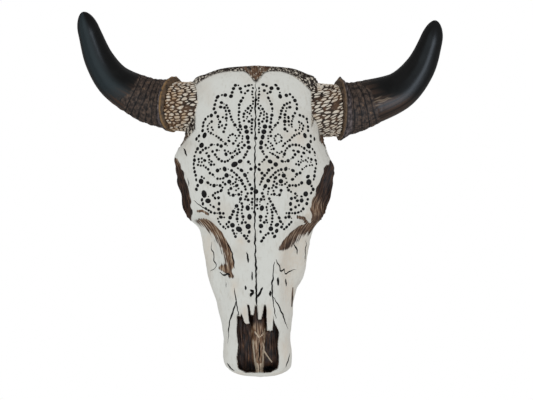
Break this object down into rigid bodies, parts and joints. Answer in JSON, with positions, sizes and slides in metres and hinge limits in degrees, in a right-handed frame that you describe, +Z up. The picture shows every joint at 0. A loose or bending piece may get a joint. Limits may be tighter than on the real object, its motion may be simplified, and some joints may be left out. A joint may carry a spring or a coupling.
{
  "type": "bull skull wall ornament",
  "caption": "Cast-resin bull skull that hangs flat on a wall, with pebbled horn cores, dark upturned horns, open eye sockets and nose, and a toothed steel hanging strip in a pocket at the back.",
  "frame": {"origin": "on the flat back that lies against the wall, on the middle line of the skull, level with the lower half of the eye sockets", "axes": "+Z up, +Y into the wall, the face looks along -Y, +X to the right as seen from the front"},
  "size_m": [0.4386, 0.1171, 0.437],
  "materials": {
    "bone_resin": "painted off-white with a brown wash in the cracks",
    "socket_brown": "dark brown wash over streaked relief",
    "core_net": "cream pebbles with brown in the gaps",
    "horn_black": "brown ridged base, satin black towards the tip",
    "hanger_steel": "zinc-plated sheet"
  },
  "bodies": {
    "root": {"cranium": "bone_resin", "eye_socket_left": "socket_brown", "eye_socket_right": "socket_brown", "cheek_left": "bone_resin", "cheek_right": "bone_resin", "nose_bridge": "bone_resin", "muzzle": "bone_resin", "horn_core_left": "core_net", "horn_core_right": "core_net", "horn_left": "horn_black", "horn_right": "horn_black", "hanger": "hanger_steel"}
  },
  "joints": []
}
